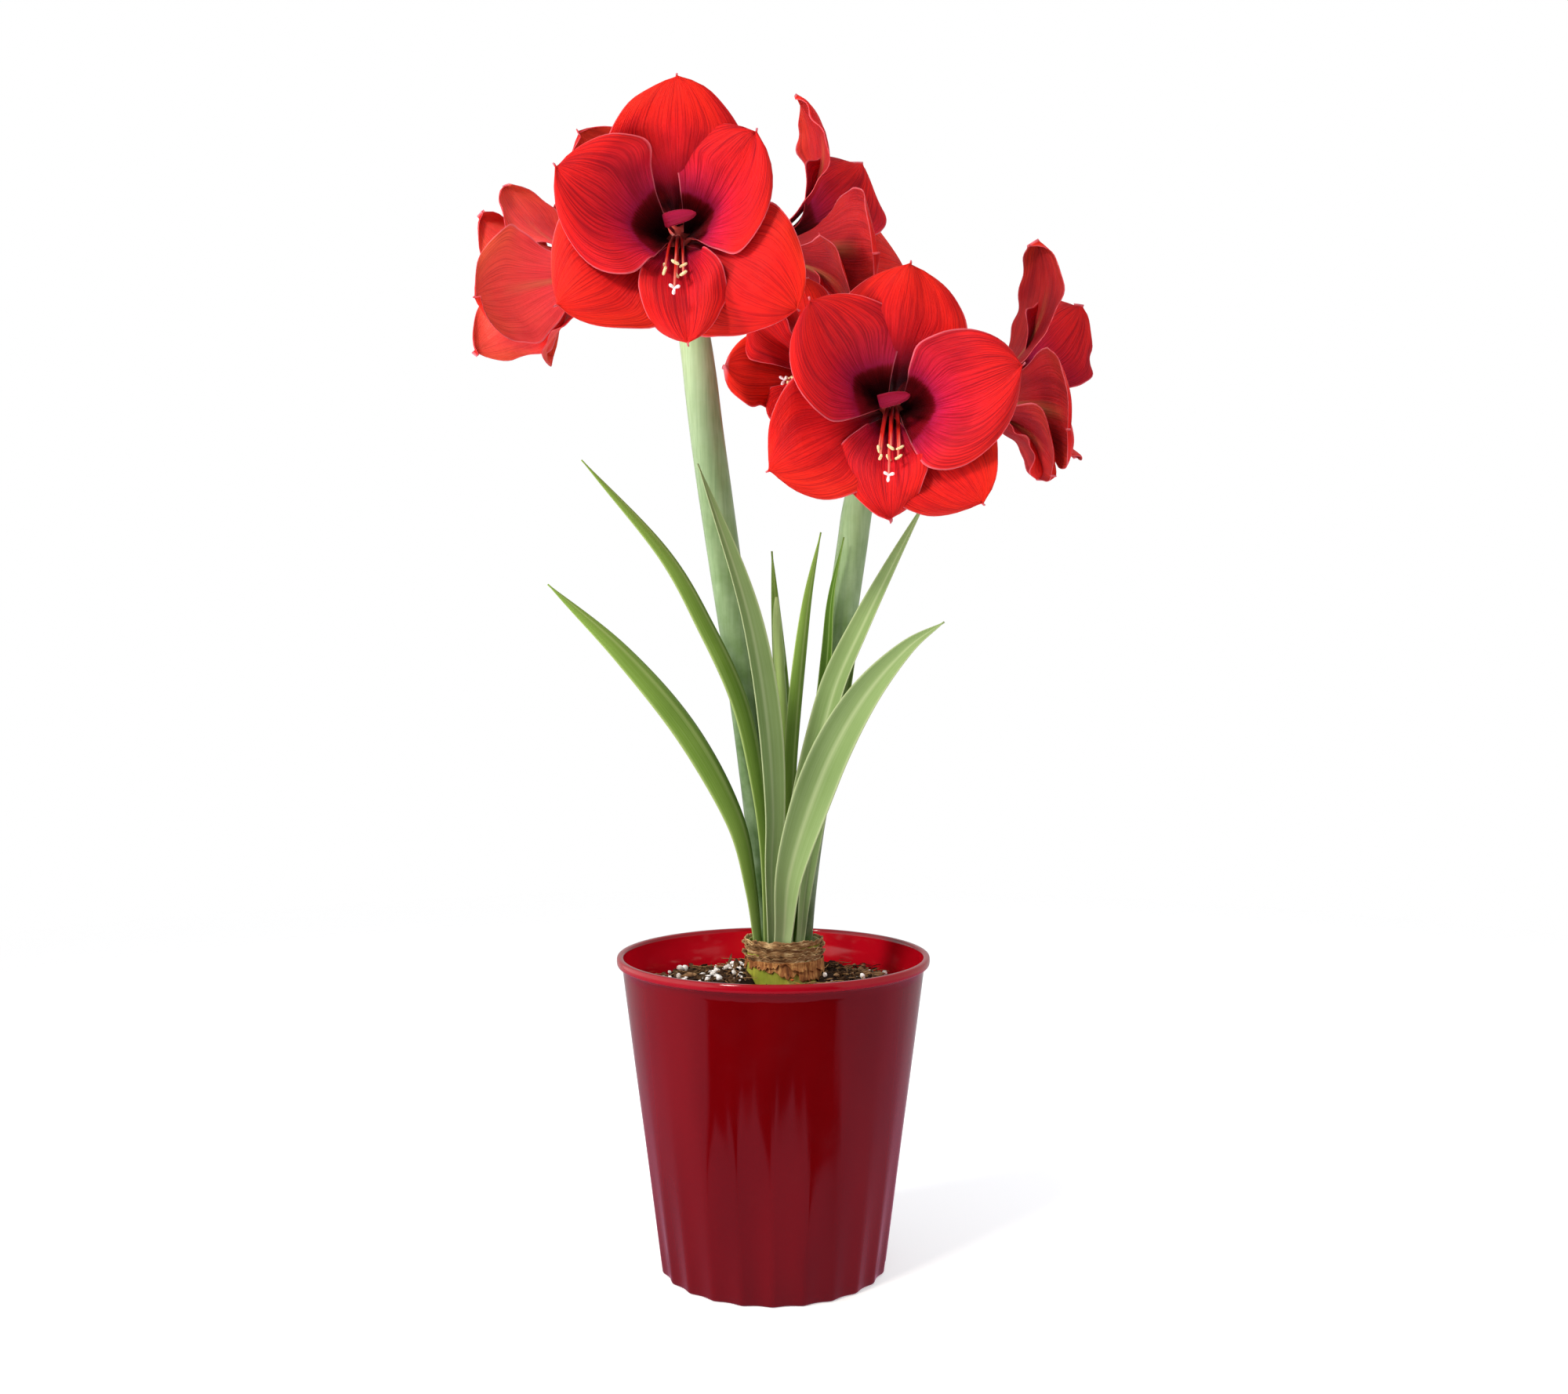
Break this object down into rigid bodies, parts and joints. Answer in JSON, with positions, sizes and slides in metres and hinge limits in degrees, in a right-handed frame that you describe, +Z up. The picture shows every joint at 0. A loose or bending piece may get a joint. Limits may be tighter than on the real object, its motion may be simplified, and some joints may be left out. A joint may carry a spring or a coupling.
{
  "type": "potted amaryllis",
  "caption": "Flowering amaryllis in a pot: tall scapes with wide red trumpet blooms and arching strap leaves rise from a bulb set in mix in a tapered, fluted plastic pot.",
  "frame": {"origin": "centre of the pot's flat underside, at the pot's axis, on the surface it stands on", "axes": "+Z up and the longest way; -Y is the front, where the two nearest blooms face; +X is the viewer's right"},
  "size_m": [0.3529, 0.2598, 0.688],
  "materials": {
    "pot": "gloss",
    "soil": "matte",
    "bulb": "satin",
    "tunic": "matte",
    "leaf": "satin",
    "scape": "satin",
    "petal": "satin",
    "stamen": "matte"
  },
  "bodies": {
    "root": {"pot": "pot", "soil": "soil", "bulb": "bulb", "tunic_skin": "tunic", "tunic_collar": "tunic", "leaf_left_low": "leaf", "leaf_left_high": "leaf", "leaf_left_upright": "leaf", "leaf_middle_thin": "leaf", "leaf_middle": "leaf", "leaf_right_high": "leaf", "leaf_right_inner": "leaf", "leaf_right_short": "leaf", "leaf_front": "leaf", "bud_young": "scape", "scape_left": "scape", "scape_right": "scape", "bloom_left_front": "petal", "bloom_left_side": "petal", "bloom_left_right": "petal", "bloom_left_back": "petal", "bloom_right_front": "petal", "bloom_right_side": "petal", "bloom_right_left": "petal", "bloom_right_back": "petal", "stamens_left_front": "stamen", "stamens_left_side": "stamen", "stamens_left_right": "stamen", "stamens_left_back": "stamen", "stamens_right_front": "stamen", "stamens_right_side": "stamen", "stamens_right_left": "stamen", "stamens_right_back": "stamen"}
  },
  "joints": []
}
